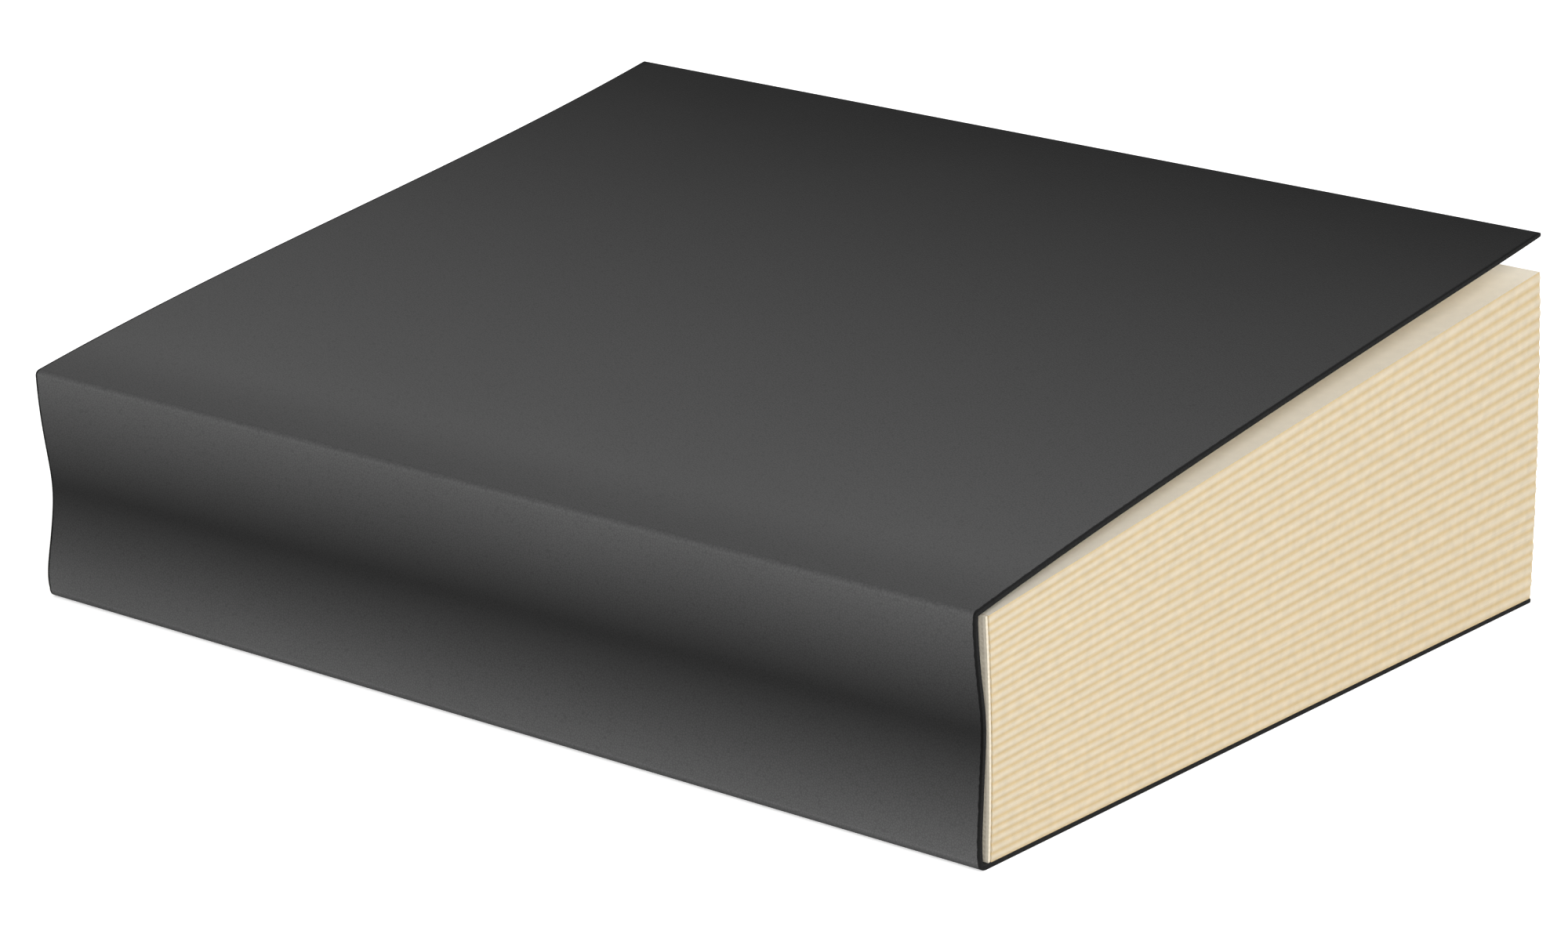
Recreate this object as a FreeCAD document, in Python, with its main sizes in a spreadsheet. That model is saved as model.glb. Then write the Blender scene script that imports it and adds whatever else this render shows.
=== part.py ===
import FreeCAD, Part
import math
import os
import Sketcher
from FreeCAD import Vector, Rotation, Placement

# A thick limp-cover book that lies on its back cover with its front cover lifted.
# X runs along the spine with the tail at +X, the spine faces -Y, the fore-edge +Y, and Z is up.
# The origin is under the middle of the book, on the table.

SIZES = (
    ("book_length", 235.0),       # head to tail
    ("panel_depth", 195.0),       # bottom fold to fore-edge of each cover panel
    ("cover_thickness", 1.0),
    ("spine_height", 49.2),       # outside of the bottom fold to outside of the top fold
    ("spine_lean", 2.8),          # how far the top fold overhangs the bottom fold
    ("spine_dip", 2.0),           # how far the strip is pinched in at mid height
    ("foot_bulge", 1.0),          # how far it swells out above the bottom fold
    ("head_bulge", 0.2),          # how far it swells out under the top fold
    ("fold_gap", 0.3),            # between the spine strip's ends and the rounded panel ends
    ("front_gape", 2.11),         # degrees between the front panel and the top leaf
    ("front_wave", 0.8),          # rise and sag of the front panel's S-curve
    ("leaf_setback", 4.2),        # bottom fold to the spine edge of the lowest leaf
    ("leaf_drop", 0.8),           # inside of the top fold down to the top leaf's spine edge
    ("fan_spread", 23.8),         # how much taller the leaves stand at the fore-edge than at the back
    ("section_count", 28),
    ("ridge_depth", 0.35),        # how far each section's edge stands out
    ("lining_thickness", 0.6),
    ("glue_film", 0.1),           # between the lining and the leaves, and the lining and the glue line
    ("glue_height", 8.0),
    ("glue_inset", 6.0),          # the glue line stops short of head and tail
)

doc = FreeCAD.newDocument("LimpBook")
sheet = doc.addObject("Spreadsheet::Sheet", "Sizes")
for row, (alias, value) in enumerate(SIZES, start=1):
    sheet.set("A%d" % row, alias)
    sheet.set("B%d" % row, str(value))
    sheet.setAlias("B%d" % row, alias)
doc.recompute()

# The leaves end level with the back cover's fore-edge, and fan about a line far behind the spine.
PAGE_DEPTH = "(Sizes.panel_depth - Sizes.leaf_setback)"
BACK_HEIGHT = "(Sizes.spine_height - Sizes.cover_thickness - Sizes.leaf_drop)"
FAN_RADIUS = "(%s * %s / Sizes.fan_spread)" % (PAGE_DEPTH, BACK_HEIGHT)
FAN_ANGLE = "(2 * asin(Sizes.fan_spread / (2 * %s)))" % PAGE_DEPTH
FAN_Y = "(Sizes.leaf_setback - %s)" % FAN_RADIUS
# Middle of the row between the spine's outermost line and the back cover's fore-edge.
MIDDLE_Y = "((Sizes.panel_depth - Sizes.spine_lean - 0.55 * Sizes.head_bulge) / 2)"
HALF_COVER = "(Sizes.cover_thickness / 2)"


def new_body(name, y_rule, z_rule, turn_rule=None):
    """A body whose own origin stands at (0, y, z) of the row, turned about X."""
    body = doc.addObject("PartDesign::Body", name)
    body.Label = name
    if turn_rule:
        body.Placement = Placement(Vector(0, 0, 0), Rotation(Vector(1, 0, 0), 1))
        body.setExpression("Placement.Rotation.Angle", turn_rule)
    body.setExpression("Placement.Base.y", "%s - %s" % (y_rule, MIDDLE_Y))
    body.setExpression("Placement.Base.z", z_rule)
    return body


def new_sketch(body, name, role):
    """A sketch on one of the body's own origin planes."""
    sketch = body.newObject("Sketcher::SketchObject", name)
    plane = [f for f in body.Origin.OriginFeatures if f.Role == role][0]
    sketch.AttachmentSupport = [(plane, "")]
    sketch.MapMode = "FlatFace"
    return sketch


def set_rule(sketch, constraint, name, rule):
    """Adds a named constraint and ties it to the sheet."""
    index = sketch.addConstraint(constraint)
    sketch.renameConstraint(index, name)
    sketch.setExpression("Constraints." + name, rule)


def value_of(rule):
    """What a rule on the sheet's sizes comes to, as a plain number."""
    return float(sheet.evalExpression(rule))


def pin_point(sketch, name, geo, pos, rules):
    """Holds one point of the sketch at (x, y) from its origin."""
    for kind, axis, rule in (("DistanceX", "x", rules[0]), ("DistanceY", "y", rules[1])):
        constraint = Sketcher.Constraint(kind, -1, 1, geo, pos, value_of(rule))
        set_rule(sketch, constraint, "%s_%s" % (name, axis), rule)


def add_curve(sketch, name, rules):
    """A clamped cubic curve whose control points are all tied to the sheet."""
    poles = [Vector(value_of(x), value_of(y), 0) for x, y in rules]
    inner = len(poles) - 4
    knots = [float(k) for k in range(inner + 2)]
    counts = [4] + [1] * inner + [4]
    curve = Part.BSplineCurve()
    curve.buildFromPolesMultsKnots(poles, counts, knots, False, 3)
    geo = sketch.addGeometry(curve, False)
    first = sketch.GeometryCount
    sketch.exposeInternalGeometry(geo)
    for i, rule in enumerate(rules):
        pin_point(sketch, "%s%d" % (name, i), first + i, 3, rule)
    return geo


def add_side(sketch, start, end):
    """A straight side between two points, each given as its two rules."""
    ends = [Vector(value_of(x), value_of(y), 0) for x, y in (start, end)]
    return sketch.addGeometry(Part.LineSegment(ends[0], ends[1]), False)


def add_round_end(sketch):
    """The half circle about the sketch's origin that ends a cover panel at its fold."""
    circle = Part.Circle(Vector(0, 0, 0), Vector(0, 0, 1), value_of(HALF_COVER))
    return sketch.addGeometry(Part.ArcOfCircle(circle, 0.5 * math.pi, 1.5 * math.pi), False)


def join_ends(sketch, pairs):
    """Makes the listed ends of sides and curves meet."""
    for geo_a, end_a, geo_b, end_b in pairs:
        sketch.addConstraint(Sketcher.Constraint("Coincident", geo_a, end_a, geo_b, end_b))


def add_rectangle(sketch, low, high):
    """A rectangle between its lower left and upper right corners, given as rules."""
    ring = (low, (high[0], low[1]), high, (low[0], high[1]))
    edges = [add_side(sketch, ring[i], ring[(i + 1) % 4]) for i in range(4)]
    join_ends(sketch, [(edges[i], 2, edges[(i + 1) % 4], 1) for i in range(4)])
    for i in range(4):
        sketch.addConstraint(Sketcher.Constraint("Horizontal" if i % 2 == 0 else "Vertical", edges[i]))
    pin_point(sketch, "low", edges[0], 1, low)
    pin_point(sketch, "high", edges[1], 2, high)


def own_axis(body):
    """The body's own X axis, along the spine."""
    return ([f for f in body.Origin.OriginFeatures if f.Role == "X_Axis"][0], [""])


def pad_along_spine(body, sketch, length_rule):
    """Extrudes a profile along X, half to the head and half to the tail."""
    pad = body.newObject("PartDesign::Pad", body.Name + "_pad")
    pad.Profile = sketch
    pad.SideType = "Symmetric"
    pad.setExpression("Length", length_rule)
    return pad


# page_block: sections of leaves, each a thin wedge with a ridge along its three open edges.
# Each section is a loft through three plans, trimmed by the ridge depth below and above.
page_block = new_body("page_block", FAN_Y, "Sizes.cover_thickness")
plans = []
for step, trim in ((0, "Sizes.ridge_depth"), (1, "0"), (2, "Sizes.ridge_depth")):
    plan = new_sketch(page_block, "section_plan_%d" % step, "XY_Plane")
    # A small turn gives the rotation its axis, and the rule then sets the angle.
    plan.AttachmentOffset = Placement(Vector(0, 0, 0), Rotation(Vector(1, 0, 0), 0.1 * step + 0.01))
    turn = "%s * %d / (2 * Sizes.section_count)" % (FAN_ANGLE, step)
    plan.setExpression("AttachmentOffset.Rotation.Angle", turn)
    half = "(Sizes.book_length / 2 - %s)" % trim
    reach = "%s + %s - %s" % (FAN_RADIUS, PAGE_DEPTH, trim)
    add_rectangle(plan, ("-" + half, FAN_RADIUS), (half, reach))
    plans.append(plan)
doc.recompute()
section = page_block.newObject("PartDesign::AdditiveLoft", "section")
section.Profile = plans[0]
section.Sections = plans[1:]
section.Ruled = True
doc.recompute()
fan = page_block.newObject("PartDesign::PolarPattern", "fan")
fan.Originals = [section]
fan.Axis = own_axis(page_block)
fan.setExpression("Angle", "%s * (Sizes.section_count - 1) / Sizes.section_count" % FAN_ANGLE)
fan.setExpression("Occurrences", "Sizes.section_count")
page_block.Tip = fan

# spine_lining: a thin strip on the back of the leaves, bent with it about the fan line.
spine_lining = new_body("spine_lining", FAN_Y, "Sizes.cover_thickness")
lining_plan = new_sketch(spine_lining, "lining_plan", "XY_Plane")
LINING_BACK = "(%s - Sizes.glue_film)" % FAN_RADIUS
LINING_END = "(Sizes.book_length / 2 - Sizes.ridge_depth)"
add_rectangle(
    lining_plan,
    ("-" + LINING_END, "%s - Sizes.lining_thickness" % LINING_BACK),
    (LINING_END, LINING_BACK),
)
doc.recompute()
bend = spine_lining.newObject("PartDesign::Revolution", "lining_bend")
bend.Profile = lining_plan
bend.ReferenceAxis = own_axis(spine_lining)
bend.setExpression("Angle", FAN_ANGLE)

# back_cover: a flat panel whose spine end is rounded about the bottom fold.
# Its body stands on the fold line, which is also the hinge.
back_cover = new_body("back_cover", HALF_COVER, HALF_COVER)
back_profile = new_sketch(back_cover, "back_profile", "YZ_Plane")
PANEL_REACH = "(Sizes.panel_depth - %s)" % HALF_COVER
top_side = add_side(back_profile, ("0", HALF_COVER), (PANEL_REACH, HALF_COVER))
fore_side = add_side(back_profile, (PANEL_REACH, HALF_COVER), (PANEL_REACH, "-" + HALF_COVER))
low_side = add_side(back_profile, (PANEL_REACH, "-" + HALF_COVER), ("0", "-" + HALF_COVER))
fold_round = add_round_end(back_profile)
join_ends(
    back_profile,
    (
        (top_side, 2, fore_side, 1),
        (fore_side, 2, low_side, 1),
        (low_side, 2, fold_round, 2),
        (top_side, 1, fold_round, 1),
        (fold_round, 3, -1, 1),
    ),
)
back_profile.addConstraint(Sketcher.Constraint("Horizontal", top_side))
back_profile.addConstraint(Sketcher.Constraint("Vertical", fore_side))
back_profile.addConstraint(Sketcher.Constraint("Horizontal", low_side))
pin_point(back_profile, "fold_top", top_side, 1, ("0", HALF_COVER))
set_rule(
    back_profile,
    Sketcher.Constraint("DistanceX", -1, 1, fore_side, 1, value_of(PANEL_REACH)),
    "panel_reach",
    PANEL_REACH,
)
doc.recompute()
pad_along_spine(back_cover, back_profile, "Sizes.book_length")

# front_cover: the lifted panel, swollen near the spine and sagging near the fore-edge.
# Its body stands on the top fold line, turned up past the top leaf by the gape.
front_cover = new_body(
    "front_cover",
    "(%s - Sizes.spine_lean)" % HALF_COVER,
    "Sizes.spine_height - %s" % HALF_COVER,
    "%s + Sizes.front_gape * 1 deg" % FAN_ANGLE,
)
front_profile = new_sketch(front_cover, "front_profile", "YZ_Plane")
# A cubic whose middle control points stand at +a and -a crosses +-0.2887 a on its way.
WAVE = "(Sizes.front_wave / 0.2887)"
faces = []
for name, off in (("upper", HALF_COVER), ("lower", "-" + HALF_COVER)):
    rules = (
        ("0", off),
        ("%s / 3" % PANEL_REACH, "%s + %s" % (off, WAVE)),
        ("%s * 2 / 3" % PANEL_REACH, "%s - %s" % (off, WAVE)),
        (PANEL_REACH, off),
    )
    faces.append(add_curve(front_profile, name, rules))
fore_end = add_side(front_profile, (PANEL_REACH, HALF_COVER), (PANEL_REACH, "-" + HALF_COVER))
fold_end = add_round_end(front_profile)
join_ends(
    front_profile,
    (
        (faces[0], 2, fore_end, 1),
        (faces[1], 2, fore_end, 2),
        (faces[0], 1, fold_end, 1),
        (faces[1], 1, fold_end, 2),
    ),
)
doc.recompute()
pad_along_spine(front_cover, front_profile, "Sizes.book_length")

# spine_cover: the strip between the folds, pinched in at mid height.
# Each row is a control point: its height as a share of the strip, its offset from the line
# between the folds as shares of the foot bulge, dip and head bulge.
spine_cover = new_body("spine_cover", "0", "0")
spine_profile = new_sketch(spine_cover, "spine_profile", "YZ_Plane")
LEAN_AT = "Sizes.spine_lean * (%s) / Sizes.spine_height"
STRIP_FOOT = "(Sizes.cover_thickness + Sizes.fold_gap)"
STRIP_SPAN = "(Sizes.spine_height - 2 * %s)" % STRIP_FOOT
CONTROL = (
    (0.00, -0.44, 0.00, 0.00),
    (0.07, -1.57, 0.00, 0.00),
    (0.24, -0.05, 0.00, 0.00),
    (0.50, 0.00, 1.18, 0.00),
    (0.66, 0.00, 0.86, 0.00),
    (0.88, 0.00, 0.00, -0.65),
    (1.00, 0.00, 0.00, -0.92),
)
sides = []
ends = []
for name, inward in (("outer", 0), ("inner", 1)):
    rules = []
    for share, foot, dip, head in CONTROL:
        height = "(%s + %s * %s)" % (STRIP_FOOT, STRIP_SPAN, share)
        offset = "Sizes.foot_bulge * %s + Sizes.spine_dip * %s + Sizes.head_bulge * %s" % (foot, dip, head)
        rules.append(("%s - %s + Sizes.cover_thickness * %d" % (offset, LEAN_AT % height, inward), height))
    sides.append(add_curve(spine_profile, name, rules))
    ends.append((rules[0], rules[-1]))
foot_end = add_side(spine_profile, ends[0][0], ends[1][0])
head_end = add_side(spine_profile, ends[0][1], ends[1][1])
join_ends(
    spine_profile,
    (
        (sides[0], 1, foot_end, 1),
        (sides[1], 1, foot_end, 2),
        (sides[0], 2, head_end, 1),
        (sides[1], 2, head_end, 2),
    ),
)
doc.recompute()
pad_along_spine(spine_cover, spine_profile, "Sizes.book_length")

# spine_adhesive: the glue line between the pinched strip and the lining.
# A bar square to the leaves runs from inside the strip to the lining, and the strip is cut from it.
PINCH_SHARE = 0.54
GLUE_ANGLE = "asin((Sizes.spine_height * %s - Sizes.cover_thickness) / %s)" % (PINCH_SHARE, FAN_RADIUS)
LEAF_BACK = "(Sizes.leaf_setback - %s * (1 - cos(%s)))" % (FAN_RADIUS, GLUE_ANGLE)
STRIP_MIDDLE = "(Sizes.spine_dip + %s - Sizes.spine_lean * %s)" % (HALF_COVER, PINCH_SHARE)
BAR_START = "(%s - %s + %s)" % (FAN_RADIUS, LEAF_BACK, STRIP_MIDDLE)
BAR_END = "(%s - 2 * Sizes.glue_film - Sizes.lining_thickness)" % FAN_RADIUS
BAR_DROP = "(Sizes.glue_height / 2)"
glue_bar = doc.addObject("Part::Box", "glue_bar")
glue_bar.Placement = Placement(Vector(0, 0, 0), Rotation(Vector(1, 0, 0), 1))
glue_bar.setExpression("Length", "Sizes.book_length - 2 * Sizes.glue_inset")
glue_bar.setExpression("Width", "%s - %s" % (BAR_END, BAR_START))
glue_bar.setExpression("Height", "Sizes.glue_height")
glue_bar.setExpression("Placement.Rotation.Angle", GLUE_ANGLE)
glue_bar.setExpression("Placement.Base.x", "Sizes.glue_inset - Sizes.book_length / 2")
BAR_Y = "%s * cos(%s) + %s * sin(%s)" % (BAR_START, GLUE_ANGLE, BAR_DROP, GLUE_ANGLE)
BAR_Z = "%s * sin(%s) - %s * cos(%s)" % (BAR_START, GLUE_ANGLE, BAR_DROP, GLUE_ANGLE)
glue_bar.setExpression("Placement.Base.y", "%s - %s + %s" % (FAN_Y, MIDDLE_Y, BAR_Y))
glue_bar.setExpression("Placement.Base.z", "Sizes.cover_thickness + %s" % BAR_Z)
spine_adhesive = doc.addObject("Part::Cut", "spine_adhesive")
spine_adhesive.Label = "spine_adhesive"
spine_adhesive.Base = glue_bar
spine_adhesive.Tool = spine_cover
doc.recompute()

# Every object must have been worked out, and every piece must be one sound solid.
for item in doc.Objects:
    if "Invalid" in item.State or "Error" in item.State:
        raise RuntimeError("%s was not worked out" % item.Name)
pieces = (page_block, spine_lining, spine_adhesive, spine_cover, front_cover, back_cover)
for piece in pieces:
    if piece.Shape.isNull() or not piece.Shape.isValid() or len(piece.Shape.Solids) != 1:
        raise RuntimeError("%s is not one sound solid" % piece.Label)

os.makedirs("parts", exist_ok=True)
for piece in pieces:
    piece.Shape.exportStep("parts/%s.step" % piece.Label)
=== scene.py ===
import math

import bmesh
import bpy
import numpy as np
from mathutils import Matrix, Vector


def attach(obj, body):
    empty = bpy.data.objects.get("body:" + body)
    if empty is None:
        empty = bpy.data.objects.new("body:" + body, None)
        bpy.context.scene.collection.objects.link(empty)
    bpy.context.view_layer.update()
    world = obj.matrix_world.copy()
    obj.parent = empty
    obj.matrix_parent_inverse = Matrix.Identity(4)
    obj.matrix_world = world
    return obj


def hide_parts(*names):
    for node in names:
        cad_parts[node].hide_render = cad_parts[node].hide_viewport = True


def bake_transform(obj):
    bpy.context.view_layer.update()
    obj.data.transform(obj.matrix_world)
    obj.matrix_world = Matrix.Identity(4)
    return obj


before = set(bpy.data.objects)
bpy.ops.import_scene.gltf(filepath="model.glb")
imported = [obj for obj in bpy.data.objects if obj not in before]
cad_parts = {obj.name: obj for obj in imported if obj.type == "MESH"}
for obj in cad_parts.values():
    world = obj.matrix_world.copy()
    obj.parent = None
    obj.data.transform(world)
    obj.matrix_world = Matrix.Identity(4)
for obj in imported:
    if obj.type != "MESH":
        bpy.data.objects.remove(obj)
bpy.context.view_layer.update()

# The leaves: 28 sections of cream book paper, glued at the back and cut flush on the other three
# sides. Reading has loosened them, so they fan out from the spine: every section's edge stands
# out as a soft ridge, and the valleys between are painted tan as painted shade.
BOOK_LENGTH = 0.235
LEAF_DEPTH = 0.1908
BACK_HEIGHT = 0.0474
FAN_SPREAD = 0.0238
SECTIONS = 28
RIDGE = 0.00016
FOOT_Y = -0.096045
LEAF_FOOT_Z = 0.001
FAN_RADIUS = LEAF_DEPTH * BACK_HEIGHT / FAN_SPREAD
FAN_ANGLE = 2 * math.asin(FAN_SPREAD / (2 * LEAF_DEPTH))
LEAF_SETBACK = 0.0042
FAN_Y = FOOT_Y + LEAF_SETBACK - FAN_RADIUS
COCKLE = 0.00016
UNEVEN_SECTIONS = 0.09
STAND_OUT = 0.00009
EDGE_HEIGHT = 0.06
EDGE_CREAM = (0.745, 0.650, 0.495, 1)
# The valleys' tan is painted shade between the section ridges.
VALLEY_SHADE_TAN = (0.680, 0.530, 0.306, 1)
# The pages' own cream, set paler than the cut edges' as painted light for the shade under the
# lifted cover.
PAGE_CREAM_LIGHTENED = (0.930, 0.860, 0.725, 1)


def lay_grids(name, grids, materials):
    """One mesh from grids of points (rows x columns x 3). Neighbours in a grid are joined into
    four-sided faces, and points of two grids that coincide become one. A grid is (points, uv,
    finish, material number): uv is in metres along the surface, and finish is three numbers per
    point that the materials read."""
    points, uvs, finishes, faces, slots = [], [], [], [], []
    count = 0
    for grid, uv, finish, number in grids:
        rows, cols = grid.shape[:2]
        index = count + np.arange(rows * cols).reshape(rows, cols)
        corners = (index[:-1, :-1], index[:-1, 1:], index[1:, 1:], index[1:, :-1])
        faces.append(np.stack(corners, axis=-1).reshape(-1, 4))
        slots.append(np.full(len(faces[-1]), number))
        points.append(grid.reshape(-1, 3))
        uvs.append(uv.reshape(-1, 2))
        finishes.append(finish.reshape(-1, 3))
        count += rows * cols
    faces = np.concatenate(faces)
    mesh = bpy.data.meshes.new(name)
    mesh.from_pydata(np.concatenate(points), [], faces)
    mesh.polygons.foreach_set("material_index", np.concatenate(slots))
    layer = mesh.uv_layers.new(name="along_surface")
    layer.data.foreach_set("uv", np.concatenate(uvs)[faces.ravel()].astype(np.float32).ravel())
    mesh.attributes.new("finish", "FLOAT_VECTOR", "POINT").data.foreach_set(
        "vector", np.concatenate(finishes).astype(np.float32).ravel()
    )
    for material in materials:
        mesh.materials.append(material)
    joined = bmesh.new()
    joined.from_mesh(mesh)
    bmesh.ops.remove_doubles(joined, verts=joined.verts, dist=2e-6)
    joined.to_mesh(mesh)
    joined.free()
    mesh.polygons.foreach_set("use_smooth", np.ones(len(mesh.polygons), bool))
    mesh.set_sharp_from_angle(angle=math.radians(40))
    piece = bpy.data.objects.new(name, mesh)
    bpy.context.collection.objects.link(piece)
    return piece


def leaf_point(x, radius, share):
    """A point of the fan: share 0 is the lowest leaf and 1 the top one. The leaf is turned by its
    share of the fan angle about the far line behind the spine, and lifted off its plane by a slow
    cockle: a sum of sines along the spine that starts at the glued back, grows in proportion to
    the depth, and dies out on the lowest and the top leaf as the root of a half sine."""
    reach = (radius - FAN_RADIUS) / LEAF_DEPTH
    wave = np.sin(31 * x + 5.0 * share) * np.sin(4.1 * reach + 2.0 * share + 0.6)
    wave = wave + 0.5 * np.sin(67 * x - 3.0 * share + 1.3) * reach
    lift = COCKLE * wave * reach * np.sin(np.pi * np.clip(share, 0, 1)) ** 0.5
    angle = share * FAN_ANGLE
    y = FAN_Y + radius * np.cos(angle) - lift * np.sin(angle)
    z = LEAF_FOOT_Z + radius * np.sin(angle) + lift * np.cos(angle)
    return np.stack([x + 0 * y, y, z], axis=-1)


def section_edges(steps):
    """Height shares up the block, how far each is trimmed back, and how near it is to a ridge.
    In a section with phase p from 0 to 1 the trim is the ridge depth times |2p - 1| to the 1.4,
    and the sections differ a little in thickness and in how far they stand out."""
    chance = np.random.default_rng(11)
    thickness = 1 + chance.uniform(-UNEVEN_SECTIONS, UNEVEN_SECTIONS, SECTIONS)
    bounds = np.concatenate([[0], np.cumsum(thickness)])
    bounds = bounds / bounds[-1]
    back = chance.uniform(0, STAND_OUT, SECTIONS)
    phase = np.arange(steps) / steps
    valley = np.abs(2 * phase - 1)
    share = (bounds[:-1, None] + phase * np.diff(bounds)[:, None]).ravel()
    trim = (RIDGE * valley ** 1.4 + back[:, None] * (1 - valley ** 4)).ravel()
    near = np.tile(1 - valley, SECTIONS)
    return np.append(share, 1.0), np.append(trim, RIDGE), np.append(near, 0.0)


def block_grids(steps=8, deep=34, wide=44):
    """The block's walls and its two outer pages. The wall's rows climb the block, and its columns
    go round its plan: tail, fore-edge, head, back. The pages are grids over depth and length."""
    share, trim, near = section_edges(steps)
    depth, width = np.linspace(0, 1, deep + 1), np.linspace(1, -1, wide + 1)
    side_x = np.concatenate([np.ones(deep), width[:-1], -np.ones(deep), -width])
    side_r = np.concatenate([depth[:-1], np.ones(wide), depth[:0:-1], np.zeros(wide + 1)])
    half = BOOK_LENGTH / 2 - trim[:, None]
    reach = LEAF_DEPTH - trim[:, None] * np.ones_like(side_r)
    walls = leaf_point(half * side_x, FAN_RADIUS + reach * side_r, share[:, None] + 0 * side_r)
    steps_round = np.linalg.norm(np.diff(walls[0], axis=0), axis=1)
    around = np.concatenate([[0], np.cumsum(steps_round)])
    uv = np.stack(np.broadcast_arrays(around[None, :], EDGE_HEIGHT * share[:, None]), axis=-1)
    near = near[:, None] + 0 * side_r
    yield walls, uv, np.stack([near, 0 * near, 0 * near], axis=-1), 0
    x = (BOOK_LENGTH / 2 - RIDGE) * width[None, :] + 0 * depth[:, None]
    r = FAN_RADIUS + (LEAF_DEPTH - RIDGE) * depth[:, None] + 0 * width[None, :]
    page_uv = np.stack([x, r], axis=-1)[:, ::-1]
    top_page, low_page = (leaf_point(x, r, share + 0 * x)[:, ::-1] for share in (1.0, 0.0))
    yield top_page, page_uv, 0 * top_page, 1
    yield low_page[::-1], page_uv[::-1], 0 * low_page, 1


def start_material(name):
    """A new material with its Principled shader, its node maker and its linker."""
    material = bpy.data.materials.new(name)
    material.use_nodes = True
    nodes = material.node_tree.nodes
    return material, nodes["Principled BSDF"], nodes.new, material.node_tree.links.new


def start_group(name, inputs, outputs):
    """A shader node group with named number or colour sockets, its node maker and its linker."""
    group = bpy.data.node_groups.new(name, "ShaderNodeTree")
    for direction, sockets in (("INPUT", inputs), ("OUTPUT", outputs)):
        for label, kind in sockets:
            group.interface.new_socket(label, in_out=direction, socket_type="NodeSocket" + kind)
    return group, group.nodes.new, group.links.new


def surface_place(new):
    """Where a point is on its piece's own surface, in metres, as a socket."""
    where = new("ShaderNodeUVMap")
    where.uv_map = "along_surface"
    return where.outputs["UV"]


def finish_numbers(new, link):
    """The three finish numbers of a point, as the sockets X, Y and Z."""
    finish = new("ShaderNodeAttribute")
    finish.attribute_name = "finish"
    parts = new("ShaderNodeSeparateXYZ")
    link(finish.outputs["Vector"], parts.inputs[0])
    return parts.outputs


def add_noise(new, scale, detail):
    """A noise texture of the given scale and detail."""
    noise = new("ShaderNodeTexNoise")
    noise.inputs["Scale"].default_value = scale
    noise.inputs["Detail"].default_value = detail
    return noise


def add_bump(new, strength, distance):
    """A bump node of the given strength, whose full height is the distance in metres."""
    bump = new("ShaderNodeBump")
    bump.inputs["Strength"].default_value = strength
    bump.inputs["Distance"].default_value = distance
    return bump


def map_range(new, start, end, smooth=False):
    """A node that maps the span `start` of (low, high) to the span `end`."""
    mapped = new("ShaderNodeMapRange")
    mapped.interpolation_type = "SMOOTHSTEP" if smooth else "LINEAR"
    for label, value in zip(("From Min", "From Max", "To Min", "To Max"), (*start, *end)):
        mapped.inputs[label].default_value = value
    return mapped


def add_math(new, operation):
    """A math node of the given operation."""
    node = new("ShaderNodeMath")
    node.operation = operation
    return node


# Paper fibre, for every paper surface: a fine cloud of pulp that tints it, and its tooth as
# height.
paper_fibre, new, link = start_group(
    "paper_fibre",
    (("Place", "Vector"), ("Colour", "Color"), ("Mottle", "Float")),
    (("Colour", "Color"), ("Height", "Float")),
)
given, out = new("NodeGroupInput"), new("NodeGroupOutput")
pulp = add_noise(new, 420, 5)
tooth = add_noise(new, 3200, 3)
shift = map_range(new, (0.3, 0.7), (-0.5, 0.5))
depth_of_mottle = add_math(new, "MULTIPLY_ADD")
depth_of_mottle.inputs[2].default_value = 1.0
shade = new("ShaderNodeVectorMath")
shade.operation = "SCALE"
link(given.outputs["Place"], pulp.inputs["Vector"])
link(given.outputs["Place"], tooth.inputs["Vector"])
link(pulp.outputs["Fac"], shift.inputs["Value"])
link(shift.outputs["Result"], depth_of_mottle.inputs[0])
link(given.outputs["Mottle"], depth_of_mottle.inputs[1])
link(given.outputs["Colour"], shade.inputs[0])
link(depth_of_mottle.outputs[0], shade.inputs["Scale"])
link(shade.outputs[0], out.inputs["Colour"])
link(tooth.outputs["Fac"], out.inputs["Height"])

# The cut edges of the leaves: cream on the ridges, and tan in the valleys as painted shade, with
# single leaves as fine streaks that run along the edge.
leaf_edge_paper, shader, new, link = start_material("leaf_edge_paper")
shader.inputs["Roughness"].default_value = 0.85
shader.inputs["Specular IOR Level"].default_value = 0.2
where = surface_place(new)
near_ridge = finish_numbers(new, link)["X"]
soften = map_range(new, (0, 0.9), (0, 1), smooth=True)
bands = new("ShaderNodeMix")
bands.data_type = "RGBA"
bands.inputs["A"].default_value = VALLEY_SHADE_TAN
bands.inputs["B"].default_value = EDGE_CREAM
squeeze = new("ShaderNodeMapping")
squeeze.inputs["Scale"].default_value = (25, 9000, 1)
streaks = add_noise(new, 1, 2)
streak_level = map_range(new, (0, 1), (0.90, 1.08))
streaked = new("ShaderNodeVectorMath")
streaked.operation = "SCALE"
fibre = new("ShaderNodeGroup")
fibre.node_tree = paper_fibre
fibre.inputs["Mottle"].default_value = 0.10
relief = add_math(new, "ADD")
bump = add_bump(new, 0.35, 0.00006)
link(near_ridge, soften.inputs["Value"])
link(soften.outputs["Result"], bands.inputs["Factor"])
link(where, squeeze.inputs["Vector"])
link(squeeze.outputs["Vector"], streaks.inputs["Vector"])
link(streaks.outputs["Fac"], streak_level.inputs["Value"])
link(bands.outputs["Result"], streaked.inputs[0])
link(streak_level.outputs["Result"], streaked.inputs["Scale"])
link(where, fibre.inputs["Place"])
link(streaked.outputs[0], fibre.inputs["Colour"])
link(fibre.outputs["Colour"], shader.inputs["Base Color"])
link(fibre.outputs["Height"], relief.inputs[0])
link(streaks.outputs["Fac"], relief.inputs[1])
link(relief.outputs[0], bump.inputs["Height"])
link(bump.outputs["Normal"], shader.inputs["Normal"])
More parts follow.
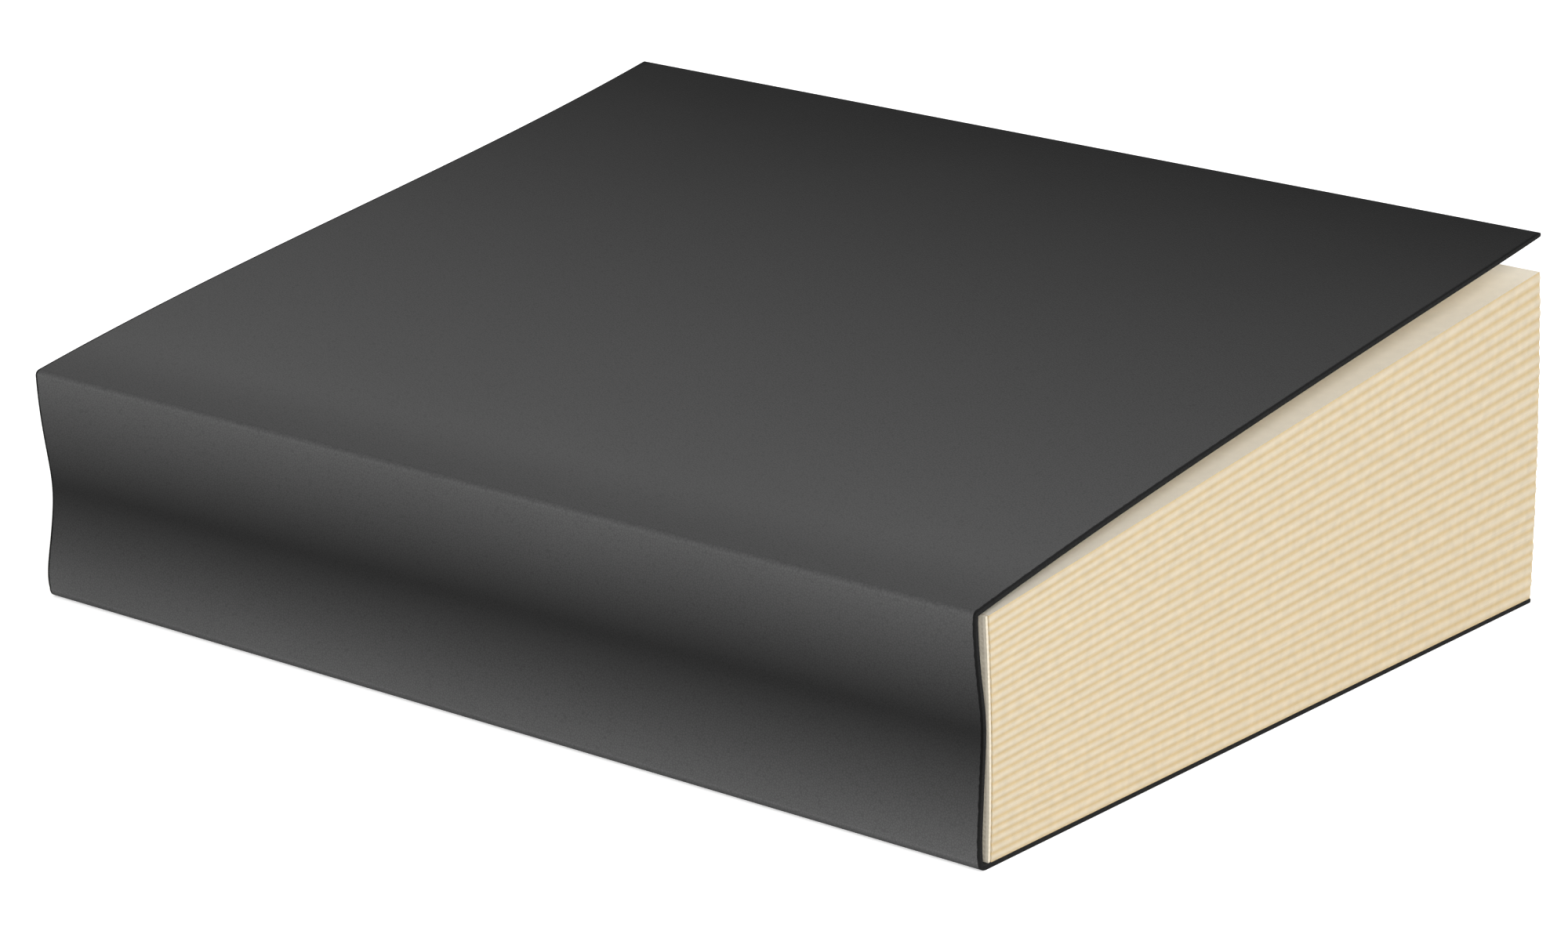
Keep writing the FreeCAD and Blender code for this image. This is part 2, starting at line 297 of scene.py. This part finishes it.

# The outer pages: blank cream paper with its tooth, in its own cream set paler than the cut
# edges' as painted light that lifts the shade under the lifted cover.
page_paper, shader, new, link = start_material("page_paper")
shader.inputs["Roughness"].default_value = 0.8
shader.inputs["Specular IOR Level"].default_value = 0.2
where = surface_place(new)
fibre = new("ShaderNodeGroup")
fibre.node_tree = paper_fibre
fibre.inputs["Colour"].default_value = PAGE_CREAM_LIGHTENED
fibre.inputs["Mottle"].default_value = 0.05
bump = add_bump(new, 0.2, 0.00004)
link(where, fibre.inputs["Place"])
link(fibre.outputs["Colour"], shader.inputs["Base Color"])
link(fibre.outputs["Height"], bump.inputs["Height"])
link(bump.outputs["Normal"], shader.inputs["Normal"])

leaves = lay_grids("leaves", list(block_grids()), (leaf_edge_paper, page_paper))
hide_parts("page_block")
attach(leaves, "block")

# The spine lining: a strip of open-weave cream cloth, soaked with glue, over the backs of the
# sections. It is the CAD strip itself, seen end-on in the gap behind the cover. Its two creams
# are the cloth's own, set paler as painted light that lifts the shade in that gap.
lining_cloth, shader, new, link = start_material("lining_cloth")
shader.inputs["Roughness"].default_value = 0.9
shader.inputs["Specular IOR Level"].default_value = 0.15
place = new("ShaderNodeTexCoord")
weave = add_math(new, "MAXIMUM")
for i, axis in enumerate("XZ"):
    thread = new("ShaderNodeTexWave")
    thread.wave_type = "BANDS"
    thread.bands_direction = axis
    thread.inputs["Scale"].default_value = 330
    thread.inputs["Distortion"].default_value = 0.6
    thread.inputs["Detail"].default_value = 1
    link(place.outputs["Object"], thread.inputs["Vector"])
    link(thread.outputs["Fac"], weave.inputs[i])
cloth = new("ShaderNodeMix")
cloth.data_type = "RGBA"
cloth.inputs["A"].default_value = (0.86, 0.78, 0.62, 1)
cloth.inputs["B"].default_value = (0.92, 0.84, 0.69, 1)
fibre = new("ShaderNodeGroup")
fibre.node_tree = paper_fibre
fibre.inputs["Mottle"].default_value = 0.08
bump = add_bump(new, 0.5, 0.0001)
link(weave.outputs[0], cloth.inputs["Factor"])
link(place.outputs["Object"], fibre.inputs["Place"])
link(cloth.outputs["Result"], fibre.inputs["Colour"])
link(fibre.outputs["Colour"], shader.inputs["Base Color"])
link(weave.outputs[0], bump.inputs["Height"])
link(bump.outputs["Normal"], shader.inputs["Normal"])
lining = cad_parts["spine_lining"]
lining.data.materials.clear()
lining.data.materials.append(lining_cloth)

# The glue line: a bead of set adhesive that holds the pinched cover to the lining. It is the CAD
# bead itself, a little cloudy and with a slack surface.
set_glue, shader, new, link = start_material("set_glue")
shader.inputs["Roughness"].default_value = 0.35
place = new("ShaderNodeTexCoord")
cloud = add_noise(new, 160, 4)
cloudy = new("ShaderNodeMix")
cloudy.data_type = "RGBA"
cloudy.inputs["A"].default_value = (0.62, 0.53, 0.36, 1)
cloudy.inputs["B"].default_value = (0.80, 0.72, 0.55, 1)
bump = add_bump(new, 0.3, 0.0003)
link(place.outputs["Object"], cloud.inputs["Vector"])
link(cloud.outputs["Fac"], cloudy.inputs["Factor"])
link(cloudy.outputs["Result"], shader.inputs["Base Color"])
link(cloud.outputs["Fac"], bump.inputs["Height"])
link(bump.outputs["Normal"], shader.inputs["Normal"])
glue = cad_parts["spine_adhesive"]
glue.data.materials.clear()
glue.data.materials.append(set_glue)

# The cover, front half: one limp sheet of black leathercloth 1 mm thick. It is creased over the
# top fold, and its spine half runs down to the glued pinch line. The lifted front panel swells
# near the spine and sags near the fore-edge, and toward the tail it bows up.
COVER = 0.001
TOP_FOLD = (-0.098345, 0.0487)
PANEL_REACH = 0.1945
FRONT_GAPE = math.radians(2.11)
FRONT_TURN = FAN_ANGLE + FRONT_GAPE
FRONT_WAVE = 0.00075
TAIL_BOW = 0.0013
FOLD_PULLED_UP = 0.0008
FOLD_SETTLED = 0.00025
SPINE_HEIGHT = 0.0492
SPINE_LEAN = 0.0028
PINCH_Z = 0.0266
PINCH_DROP = 0.0035
FOOT_DRAWN_IN = 0.0016
STRIP_HEIGHTS = 0.0013 + 0.0466 * np.array([0, 0.07, 0.24, 0.50, 0.66, 0.88, 1.0])
STRIP_OFFSETS = 0.001 * np.array([-0.44, -1.57, -0.05, 2.36, 1.72, -0.13, -0.184])
CUT_ROUND = 0.00022
SUPPORT = 0.0005
FOLD_LEG = 0.0006


def panel_sheen_and_shade(t):
    """Painted sheen and shade on the front panel's black: the grey falls from the fold (0) to the
    fore-edge (1) as a power of what is left of the way, as a painted sheen, and is darker beside
    the fold as painted shade in the crease."""
    crease = np.clip(1 - t / 0.1, 0, 1)
    return 0.005 + 0.092 * (1 - t) ** 1.1 - 0.029 * crease * crease * (3 - 2 * crease)


def spine_shade_and_highlight(share, x):
    """Painted shade and highlight on the spine, from the top fold (0) to the bottom fold (1): the
    grey rises in proportion to the distance from the dark pinched line, painted shade in the dip,
    which is rounded off, and a little more at the foot. The line slants evenly from a share of
    0.52 at the head to 0.46 at the tail."""
    foot = np.clip(share - 0.7, 0, 0.3)
    pinch = 0.49 - 0.055 * x / BOOK_LENGTH
    return 0.018 + 0.222 * np.sqrt((share - pinch) ** 2 + 0.0009) + 0.30 * foot * foot


def smooth_run(controls, count=400):
    """A clamped cubic curve drawn by its control numbers: each span is a weighted mean of four of
    them, found by blending neighbours three times with shares of their knot spans."""
    knots = np.concatenate([[0, 0, 0], np.arange(len(controls) - 2), [len(controls) - 3] * 3])
    at = np.linspace(0, len(controls) - 3 - 1e-9, count)
    span = np.floor(at).astype(int)
    blend = [controls[span + k] for k in range(4)]
    for level in range(1, 4):
        for k in range(3, level - 1, -1):
            low, high = knots[span + k], knots[span + k + 4 - level]
            share = (at - low) / (high - low)
            blend[k] = (1 - share) * blend[k - 1] + share * blend[k]
    return blend[3]


def strip_y(z, x):
    """The spine strip's middle line: its offset from the leaning line between the two folds.
    Toward the head the pinch sits lower, by a sine of the height, and toward the tail the foot is
    drawn in, by a sine of the squared way down from the pinch."""
    tail = x / BOOK_LENGTH + 0.5
    lowered = z + PINCH_DROP * (1 - tail) * np.sin(np.pi * np.clip(z / SPINE_HEIGHT, 0, 1))
    offset = np.interp(lowered, smooth_run(STRIP_HEIGHTS), smooth_run(STRIP_OFFSETS))
    foot = np.clip(1 - z / PINCH_Z, 0, 1)
    offset = offset + FOOT_DRAWN_IN * tail * np.sin(2.5 * foot * foot)
    return FOOT_Y + COVER / 2 + offset - SPINE_LEAN * z / SPINE_HEIGHT


def fold_height(x):
    """Height of the top fold: it has been pulled up toward the tail, and has settled toward the
    head, each by the square of the way there."""
    tail = x / BOOK_LENGTH + 0.5
    return TOP_FOLD[1] + FOLD_PULLED_UP * tail ** 2 - FOLD_SETTLED * (1 - tail) ** 2


def panel_line(u, x):
    """The front panel's middle line at distance u from the fold: a cubic that rises and then sags
    by the wave, which 0.2887 scales it to, and a bow, a sine of the depth to the 1.8, that grows
    with the square of the way to the tail."""
    t, tail = u / PANEL_REACH, x / BOOK_LENGTH + 0.5
    rise = FRONT_WAVE / 0.2887 * 3 * t * (1 - t) * (1 - 2 * t)
    rise = rise + TAIL_BOW * np.sin(np.pi * t ** 1.8) * tail ** 2
    cos, sin = math.cos(FRONT_TURN), math.sin(FRONT_TURN)
    y = TOP_FOLD[0] + u * cos - rise * sin
    z = TOP_FOLD[1] + u * sin + rise * cos + (fold_height(x) - TOP_FOLD[1]) * (1 - t)
    return y, z


def round_fold(start, corner, end, count):
    """The middle line over a fold: a parabola from start to end that meets both with no kink."""
    t = np.linspace(0, 1, count)[1:-1, None, None]
    return (1 - t) ** 2 * start + 2 * t * (1 - t) * corner + t ** 2 * end


def cover_sheet(name, lines, columns, greys, panel_rows, materials):
    """A sheet from rows of (y, z) lines along X. Its UV is metres along X and across the rows.
    Its finish is how grey it is, how far it is from the edge of its flat panel, and how far from
    a cut edge, in metres, each the least of the distances to the edges in question."""
    x = columns[None, :] + 0 * lines[..., 0]
    steps = np.linalg.norm(np.diff(lines[:, len(columns) // 2], axis=0), axis=1)
    across = np.concatenate([[0], np.cumsum(steps)])[:, None] + 0 * x
    first, last = across[panel_rows][0, 0], across[panel_rows][-1, 0]
    side = BOOK_LENGTH / 2 - np.abs(x)
    in_panel = np.minimum(side, np.minimum(across - first, last - across))
    cut_row = first if panel_rows.start == 0 else last
    to_cut = np.minimum(side, np.abs(across - cut_row))
    points = np.concatenate([x[..., None], lines], axis=-1)
    finish = np.stack([greys, in_panel, to_cut], axis=-1)
    uv = np.stack([x, across], axis=-1)
    return lay_grids(name, [(points, uv, finish, 0)], materials)


def thicken(sheet, cut):
    """Gives a sheet its thickness about its middle, and rounds the edges that were cut."""
    ends = np.zeros(len(sheet.data.edges) * 2, int)
    sheet.data.edges.foreach_get("vertices", ends)
    both = cut[ends].reshape(-1, 2).all(axis=1)
    weight = sheet.data.attributes.new("bevel_weight_edge", "FLOAT", "EDGE")
    weight.data.foreach_set("value", both.astype(np.float32))
    solid = sheet.modifiers.new("thickness", "SOLIDIFY")
    solid.thickness = COVER
    solid.offset = 0
    solid.use_even_offset = True
    solid.use_quality_normals = True
    solid.material_offset = 1
    solid.material_offset_rim = 2
    edge = sheet.modifiers.new("cut_edge", "BEVEL")
    edge.limit_method = "WEIGHT"
    edge.width = CUT_ROUND
    edge.segments = 2
    edge.use_clamp_overlap = False


# Leather grain, for the cover's faces and cut edges: pebbles parted by fine creases, as height,
# and the colour darker in the creases.
leather_grain, new, link = start_group(
    "leather_grain",
    (
        ("Place", "Vector"), ("Grain Size", "Float"),
        ("Colour", "Color"), ("Crease Depth", "Float"),
    ),
    (("Colour", "Color"), ("Height", "Float")),
)
given, out = new("NodeGroupInput"), new("NodeGroupOutput")
wander = add_noise(new, 900, 2)
bend = new("ShaderNodeVectorMath")
bend.operation = "MULTIPLY_ADD"
bend.inputs[1].default_value = (0.0005, 0.0005, 0.0005)
pebble = new("ShaderNodeTexVoronoi")
pebble.feature = "DISTANCE_TO_EDGE"
crease = map_range(new, (0, 0.16), (1, 0))
dome = map_range(new, (0, 0.35), (0, 1), smooth=True)
darken = add_math(new, "MULTIPLY")
keep = add_math(new, "SUBTRACT")
keep.inputs[0].default_value = 1
shade = new("ShaderNodeVectorMath")
shade.operation = "SCALE"
link(given.outputs["Place"], wander.inputs["Vector"])
link(wander.outputs["Color"], bend.inputs[0])
link(given.outputs["Place"], bend.inputs[2])
link(bend.outputs[0], pebble.inputs["Vector"])
link(given.outputs["Grain Size"], pebble.inputs["Scale"])
link(pebble.outputs["Distance"], crease.inputs["Value"])
link(pebble.outputs["Distance"], dome.inputs["Value"])
link(crease.outputs["Result"], darken.inputs[0])
link(given.outputs["Crease Depth"], darken.inputs[1])
link(darken.outputs[0], keep.inputs[1])
link(given.outputs["Colour"], shade.inputs[0])
link(keep.outputs[0], shade.inputs["Scale"])
link(shade.outputs[0], out.inputs["Colour"])
link(dome.outputs["Result"], out.inputs["Height"])

# The cover's outside: the grey of each point, which is painted sheen and shade, clouded a little
# by handling. The black ink of the cut edges runs half a millimetre onto it, with an uneven
# border.
leathercloth, shader, new, link = start_material("leathercloth")
shader.inputs["Specular IOR Level"].default_value = 0.08
where = surface_place(new)
tone = finish_numbers(new, link)
handling = add_noise(new, 14, 4)
cloud = map_range(new, (0.3, 0.7), (0.94, 1.06))
grey = add_math(new, "MULTIPLY")
tint = new("ShaderNodeCombineColor")
grain = new("ShaderNodeGroup")
grain.node_tree = leather_grain
grain.inputs["Grain Size"].default_value = 1900
grain.inputs["Crease Depth"].default_value = 0.25
gloss = map_range(new, (0, 1), (0.58, 0.72))
bump = add_bump(new, 0.25, 0.00006)
uneven = add_noise(new, 700, 3)
border = add_math(new, "MULTIPLY_ADD")
border.inputs[1].default_value = -0.0004
inked = map_range(new, (0.0003, 0.0005), (0.1, 1), smooth=True)
edged = add_math(new, "MULTIPLY")
link(where, handling.inputs["Vector"])
link(handling.outputs["Fac"], cloud.inputs["Value"])
link(where, uneven.inputs["Vector"])
link(uneven.outputs["Fac"], border.inputs[0])
link(tone["Z"], border.inputs[2])
link(border.outputs[0], inked.inputs["Value"])
link(tone["X"], grey.inputs[0])
link(cloud.outputs["Result"], grey.inputs[1])
link(grey.outputs[0], edged.inputs[0])
link(inked.outputs["Result"], edged.inputs[1])
for channel in ("Red", "Green", "Blue"):
    link(edged.outputs[0], tint.inputs[channel])
link(tint.outputs[0], grain.inputs["Colour"])
link(where, grain.inputs["Place"])
link(grain.outputs["Colour"], shader.inputs["Base Color"])
link(handling.outputs["Fac"], gloss.inputs["Value"])
link(gloss.outputs["Result"], shader.inputs["Roughness"])
link(grain.outputs["Height"], bump.inputs["Height"])
link(bump.outputs["Normal"], shader.inputs["Normal"])

# The cover's inside: black cloth turned in at the edges and bare over the spine, and on each
# panel a cream paper pasted down to 3 mm from its edges.
pasted_inside, shader, new, link = start_material("pasted_inside")
shader.inputs["Roughness"].default_value = 0.8
shader.inputs["Specular IOR Level"].default_value = 0.15
where = surface_place(new)
from_panel_edge = finish_numbers(new, link)["Y"]
pasted = map_range(new, (0.0029, 0.0031), (0, 1), smooth=True)
grain = new("ShaderNodeGroup")
grain.node_tree = leather_grain
grain.inputs["Grain Size"].default_value = 2600
grain.inputs["Colour"].default_value = (0.024, 0.024, 0.024, 1)
grain.inputs["Crease Depth"].default_value = 0.3
fibre = new("ShaderNodeGroup")
fibre.node_tree = paper_fibre
fibre.inputs["Colour"].default_value = PAGE_CREAM_LIGHTENED
fibre.inputs["Mottle"].default_value = 0.06
paper_or_cloth = new("ShaderNodeMix")
paper_or_cloth.data_type = "RGBA"
height = add_math(new, "ADD")
bump = add_bump(new, 0.3, 0.00008)
link(from_panel_edge, pasted.inputs["Value"])
link(where, grain.inputs["Place"])
link(where, fibre.inputs["Place"])
link(pasted.outputs["Result"], paper_or_cloth.inputs["Factor"])
link(grain.outputs["Colour"], paper_or_cloth.inputs["A"])
link(fibre.outputs["Colour"], paper_or_cloth.inputs["B"])
link(paper_or_cloth.outputs["Result"], shader.inputs["Base Color"])
link(pasted.outputs["Result"], height.inputs[0])
link(fibre.outputs["Height"], height.inputs[1])
link(height.outputs[0], bump.inputs["Height"])
link(bump.outputs["Normal"], shader.inputs["Normal"])

# The cover's cut edge: the raw black core of the cloth, with a fibrous grain.
cut_edge, shader, new, link = start_material("cut_edge")
shader.inputs["Roughness"].default_value = 0.9
shader.inputs["Specular IOR Level"].default_value = 0.1
where = surface_place(new)
grain = new("ShaderNodeGroup")
grain.node_tree = leather_grain
grain.inputs["Grain Size"].default_value = 4200
grain.inputs["Colour"].default_value = (0.018, 0.018, 0.018, 1)
grain.inputs["Crease Depth"].default_value = 0.4
bump = add_bump(new, 0.2, 0.00005)
link(where, grain.inputs["Place"])
link(grain.outputs["Colour"], shader.inputs["Base Color"])
link(grain.outputs["Height"], bump.inputs["Height"])
link(bump.outputs["Normal"], shader.inputs["Normal"])

# Rows run from the fore-edge over the fold to the pinch line, and columns from tail to head. A
# row or column stands close beside each cut edge, and a row close to the pinch line, so that the
# shading stays flat up to them.
half = BOOK_LENGTH / 2
columns = np.concatenate([[half], np.linspace(half - SUPPORT, SUPPORT - half, 95), [-half]])
depth = np.linspace(1, 0, 84) ** 1.7
distances = np.insert(FOLD_LEG + (PANEL_REACH - FOLD_LEG) * depth, 1, PANEL_REACH - SUPPORT)
panel = np.stack(panel_line(distances[:, None], columns[None, :]), axis=-1)
fold_z = fold_height(columns)[None, :]
climb = np.insert(np.linspace(1, 0, 44), -1, 0.0008)[:, None]
heights = PINCH_Z + (fold_z - FOLD_LEG - PINCH_Z) * climb
strip = np.stack([strip_y(heights, columns), heights], axis=-1)
corner = np.stack([strip_y(fold_z - FOLD_LEG, columns), fold_z], axis=-1)
over_fold = round_fold(panel[-1:], corner, strip[:1], 9)
lines = np.concatenate([panel, over_fold, strip])
# The greys: the panel's painted sheen and crease shade, a straight blend over the fold, and the
# spine's painted shade and highlight.
greys = np.concatenate([
    panel_sheen_and_shade(distances / PANEL_REACH)[:, None] + 0 * columns,
    np.linspace(panel_sheen_and_shade(0) + 0 * columns, spine_shade_and_highlight(0, columns), len(over_fold)),
    spine_shade_and_highlight(1 - heights / SPINE_HEIGHT, columns),
])
cover_front = cover_sheet(
    "cover_front", lines, columns, greys, slice(0, len(panel)),
    (leathercloth, pasted_inside, cut_edge),
)
cut = np.zeros(lines.shape[:2], bool)
cut[0, :] = cut[:, 0] = cut[:, -1] = True
thicken(cover_front, cut.ravel())
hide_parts("front_cover", "spine_cover")
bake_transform(cover_front)

# The cover, back half: the same sheet from the pinch line down over the bottom fold, and flat on
# the table to the fore-edge. The fold is rounder than the top one, as the book's weight is on it.
BACK_LEG = 0.0016
BACK_Z = COVER / 2
FORE_EDGE_Y = 0.098955
# Under the bottom fold the grey falls to this near black: painted shade where the sheet curves
# under.
FOLD_SHADE_BLACK = 0.01
UNDERSIDE_GREYS = (0.09, 0.03)
heights = PINCH_Z + (BACK_Z + BACK_LEG - PINCH_Z) * climb[::-1] + 0 * columns
strip = np.stack([strip_y(heights, columns), heights], axis=-1)
corner_y = strip_y(BACK_Z + BACK_LEG, columns)
depth = np.insert(np.linspace(0, 1, 60) ** 1.7, -1, 0.9975)[:, None]
reaches = corner_y + BACK_LEG + (FORE_EDGE_Y - corner_y - BACK_LEG) * depth
panel = np.stack([reaches, BACK_Z + 0 * reaches], axis=-1)
corner = np.stack([corner_y, BACK_Z + 0 * corner_y], axis=-1)
under_fold = round_fold(strip[-1:], corner, panel[:1], 11)
lines = np.concatenate([strip, under_fold, panel])
# The greys: the spine's painted shade and highlight, a fall to near black under the fold as
# painted shade, and 0.09 to 0.03 across the underside.
greys = np.concatenate([
    spine_shade_and_highlight(1 - heights / SPINE_HEIGHT, columns),
    np.linspace(spine_shade_and_highlight(1, columns), FOLD_SHADE_BLACK + 0 * columns, len(under_fold)),
    np.linspace(*UNDERSIDE_GREYS, len(reaches))[:, None] + 0 * columns,
])
cover_back = cover_sheet(
    "cover_back", lines, columns, greys, slice(len(lines) - len(panel), len(lines)),
    (leathercloth, pasted_inside, cut_edge),
)
cut = np.zeros(lines.shape[:2], bool)
cut[-1, :] = cut[:, 0] = cut[:, -1] = True
thicken(cover_back, cut.ravel())
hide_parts("back_cover", "spine_cover")
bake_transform(cover_back)

# The table: a plain white sheet that keeps a soft shadow under the book. A faint glow, which only
# the camera and mirrored or refracted rays see, lifts it to the white of the background.
def seeing_rays(new, link):
    """1 for camera, glossy and transmission rays and 0 for the others, as a socket."""
    path = new("ShaderNodeLightPath")
    seen = path.outputs["Is Camera Ray"]
    for kind in ("Is Glossy Ray", "Is Transmission Ray"):
        either = add_math(new, "MAXIMUM")
        link(seen, either.inputs[0])
        link(path.outputs[kind], either.inputs[1])
        seen = either.outputs[0]
    return seen


table = bpy.data.objects.new("table", bpy.data.meshes.new("table"))
table.data.from_pydata([(-6, -6, 0), (6, -6, 0), (6, 6, 0), (-6, 6, 0)], [], [(0, 1, 2, 3)])
bpy.context.collection.objects.link(table)
white_card, shader, new, link = start_material("white_card")
shader.inputs["Base Color"].default_value = (0.92, 0.92, 0.92, 1)
shader.inputs["Roughness"].default_value = 1
shader.inputs["Specular IOR Level"].default_value = 0
glow = new("ShaderNodeEmission")
glow_level = add_math(new, "MULTIPLY")
glow_level.inputs[1].default_value = 0.57
lit = new("ShaderNodeAddShader")
link(seeing_rays(new, link), glow_level.inputs[0])
link(glow_level.outputs[0], glow.inputs["Strength"])
link(shader.outputs[0], lit.inputs[0])
link(glow.outputs[0], lit.inputs[1])
link(lit.outputs[0], white_card.node_tree.nodes["Material Output"].inputs["Surface"])
table.data.materials.append(white_card)

# Soft studio light: a white room, a broad lamp that looks into the open tail side, a lower one on
# the spine side, and one behind for the fore-edge, whose gleam is kept off the cover.
world = bpy.data.worlds.new("white_room")
bpy.context.scene.world = world
world.use_nodes = True
new, link = world.node_tree.nodes.new, world.node_tree.links.new
background = world.node_tree.nodes["Background"]
background.inputs["Color"].default_value = (1, 1, 1, 1)
level = map_range(new, (0, 1), (0.42, 1))
link(seeing_rays(new, link), level.inputs["Value"])
link(level.outputs["Result"], background.inputs["Strength"])
for name, place, size, power in (
    ("tail_side_lamp", (1.42, -0.50, 1.16), 1.1, 16),
    ("spine_side_lamp", (1.13, -1.35, 0.72), 1.1, 8),
    ("fore_edge_lamp", (-1.05, 1.15, 1.0), 1.4, 9),
):
    lamp = bpy.data.objects.new(name, bpy.data.lights.new(name, "AREA"))
    lamp.data.shape = "SQUARE"
    lamp.data.size = size
    lamp.data.energy = power
    lamp.location = place
    toward_book = Vector((0, 0, 0.03)) - Vector(place)
    lamp.rotation_euler = toward_book.to_track_quat("-Z", "Y").to_euler()
    lamp.visible_glossy = name != "fore_edge_lamp"
    bpy.context.collection.objects.link(lamp)

# The camera, at the photograph's angle: over the spine side, turned toward the tail.
camera = bpy.data.objects.new("camera", bpy.data.cameras.new("camera"))
azimuth, elevation, roll = map(math.radians, (37.879, 17.375, 0.863))
back = Vector((
    math.sin(azimuth) * math.cos(elevation),
    -math.cos(azimuth) * math.cos(elevation),
    math.sin(elevation),
))
right = Vector((0, 0, 1)).cross(back).normalized()
up = back.cross(right)
rolled_right = right * math.cos(roll) + up * math.sin(roll)
rolled_up = up * math.cos(roll) - right * math.sin(roll)
camera.matrix_world = Matrix((rolled_right, rolled_up, back)).transposed().to_4x4()
camera.location = (0.58996, -0.76133, 0.33109)
camera.data.sensor_width = 36
camera.data.lens = 6294.6 / 2000 * camera.data.sensor_width
bpy.context.collection.objects.link(camera)
bpy.context.scene.camera = camera
bpy.context.scene.view_settings.view_transform = "Standard"
